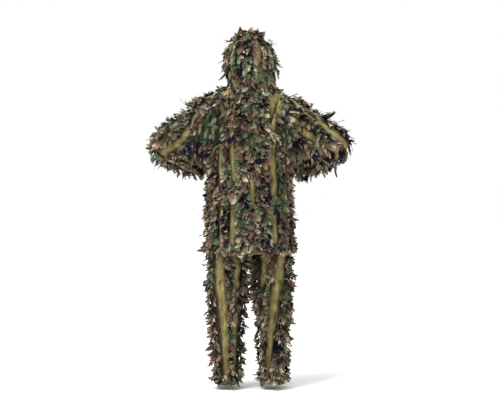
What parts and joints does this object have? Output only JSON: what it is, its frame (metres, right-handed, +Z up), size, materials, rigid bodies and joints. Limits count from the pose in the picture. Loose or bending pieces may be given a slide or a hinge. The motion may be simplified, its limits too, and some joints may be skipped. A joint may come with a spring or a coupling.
{
  "type": "ghillie suit",
  "caption": "Two-piece leaf ghillie suit: hooded zip-front jacket with bent sleeves and elastic-waist trousers, covered in sewn strips of cut camouflage leaves.",
  "frame": {"origin": "centre of the neck line, where the jacket hangs on the wearer's shoulders", "axes": "+Z up, the front of the suit faces -Y, the wearer's left is +X"},
  "size_m": [1.026, 0.4671, 1.747],
  "materials": {
    "olive_mesh_cloth": "matt open mesh",
    "camo_leaf_cloth": "matt printed cloth, cut into leaves",
    "binding_tape": "matt woven tape",
    "elastic_webbing": "matt ribbed",
    "zip_tape_cloth": "matt woven tape",
    "zip_coil": "matt",
    "zip_metal": "satin black paint"
  },
  "bodies": {
    "jacket": {"jacket_back_panel": "olive_mesh_cloth", "left_jacket_front_panel": "olive_mesh_cloth", "right_jacket_front_panel": "olive_mesh_cloth", "jacket_hem_band": "binding_tape", "neck_seam_band": "binding_tape", "hanger_loop": "binding_tape", "left_zip_tape": "zip_tape_cloth", "right_zip_tape": "zip_tape_cloth", "zip_chain": "zip_coil", "zip_end_stops": "zip_coil", "jacket_back_leaf_strips": "camo_leaf_cloth", "left_front_leaf_strips": "camo_leaf_cloth", "right_front_leaf_strips": "camo_leaf_cloth"},
    "zip_slider": {"zip_slider": "zip_metal"},
    "zip_pull": {"zip_pull_tab": "zip_metal"},
    "hood": {"left_hood_panel": "olive_mesh_cloth", "right_hood_panel": "olive_mesh_cloth", "face_opening_binding": "binding_tape", "face_opening_elastic": "elastic_webbing", "hood_leaf_strips": "camo_leaf_cloth"},
    "trousers": {"left_trouser_seat_panel": "olive_mesh_cloth", "right_trouser_seat_panel": "olive_mesh_cloth", "waistband": "binding_tape", "waist_elastic": "elastic_webbing"},
    "left_upper_sleeve": {"left_upper_sleeve_panel": "olive_mesh_cloth", "left_upper_sleeve_leaf_strips": "camo_leaf_cloth"},
    "left_forearm_sleeve": {"left_forearm_sleeve_panel": "olive_mesh_cloth", "left_forearm_leaf_strips": "camo_leaf_cloth", "left_cuff_band": "binding_tape", "left_cuff_elastic": "elastic_webbing"},
    "left_thigh": {"left_thigh_panel": "olive_mesh_cloth", "left_thigh_leaf_strips": "camo_leaf_cloth"},
    "left_shin": {"left_shin_panel": "olive_mesh_cloth", "left_shin_leaf_strips": "camo_leaf_cloth", "left_ankle_hem_band": "binding_tape", "left_ankle_elastic": "elastic_webbing"},
    "right_upper_sleeve": {"right_upper_sleeve_panel": "olive_mesh_cloth", "right_upper_sleeve_leaf_strips": "camo_leaf_cloth"},
    "right_forearm_sleeve": {"right_forearm_sleeve_panel": "olive_mesh_cloth", "right_forearm_leaf_strips": "camo_leaf_cloth", "right_cuff_band": "binding_tape", "right_cuff_elastic": "elastic_webbing"},
    "right_thigh": {"right_thigh_panel": "olive_mesh_cloth", "right_thigh_leaf_strips": "camo_leaf_cloth"},
    "right_shin": {"right_shin_panel": "olive_mesh_cloth", "right_shin_leaf_strips": "camo_leaf_cloth", "right_ankle_hem_band": "binding_tape", "right_ankle_elastic": "elastic_webbing"}
  },
  "joints": [
    {"name": "hood_tilt", "type": "hinge", "parent": "jacket", "child": "hood", "pos_m": [0, 0.105, 0.001], "axis": [-1, 0, 0], "range_deg": [0, 80]},
    {"name": "zip_slide", "type": "slide", "parent": "jacket", "child": "zip_slider", "axis": [0, -0.0803, -0.9968], "range_m": [0, 0.755]},
    {"name": "zip_pull_swing", "type": "hinge", "parent": "zip_slider", "child": "zip_pull", "pos_m": [0, -0.11274, -0.05124], "axis": [-1, 0, 0], "range_deg": [0, 150]},
    {"name": "trousers_waist_slide", "type": "slide", "parent": "jacket", "child": "trousers", "axis": [0, 0, -1], "range_m": [0, 0.42]},
    {"name": "left_shoulder", "type": "hinge", "parent": "jacket", "child": "left_upper_sleeve", "pos_m": [0.172, 0, -0.192], "axis": [0, -1, 0], "range_deg": [-25, 50]},
    {"name": "left_elbow", "type": "hinge", "parent": "left_upper_sleeve", "child": "left_forearm_sleeve", "pos_m": [0.451, -0.03, -0.292], "axis": [-0.2243, 0.5637, -0.795], "range_deg": [-105, 10]},
    {"name": "left_hip", "type": "hinge", "parent": "trousers", "child": "left_thigh", "pos_m": [0.116, 0, -0.787], "axis": [-1, 0, 0], "range_deg": [-25, 25]},
    {"name": "left_knee", "type": "hinge", "parent": "left_thigh", "child": "left_shin", "pos_m": [0.116, 0, -1.057], "axis": [1, 0, 0], "range_deg": [0, 90]},
    {"name": "right_shoulder", "type": "hinge", "parent": "jacket", "child": "right_upper_sleeve", "pos_m": [-0.172, 0, -0.192], "axis": [0, 1, 0], "range_deg": [-25, 50]},
    {"name": "right_elbow", "type": "hinge", "parent": "right_upper_sleeve", "child": "right_forearm_sleeve", "pos_m": [-0.451, -0.03, -0.292], "axis": [-0.2243, -0.5637, 0.795], "range_deg": [-105, 10]},
    {"name": "right_hip", "type": "hinge", "parent": "trousers", "child": "right_thigh", "pos_m": [-0.116, 0, -0.787], "axis": [-1, 0, 0], "range_deg": [-25, 25]},
    {"name": "right_knee", "type": "hinge", "parent": "right_thigh", "child": "right_shin", "pos_m": [-0.116, 0, -1.057], "axis": [1, 0, 0], "range_deg": [0, 90]}
  ]
}
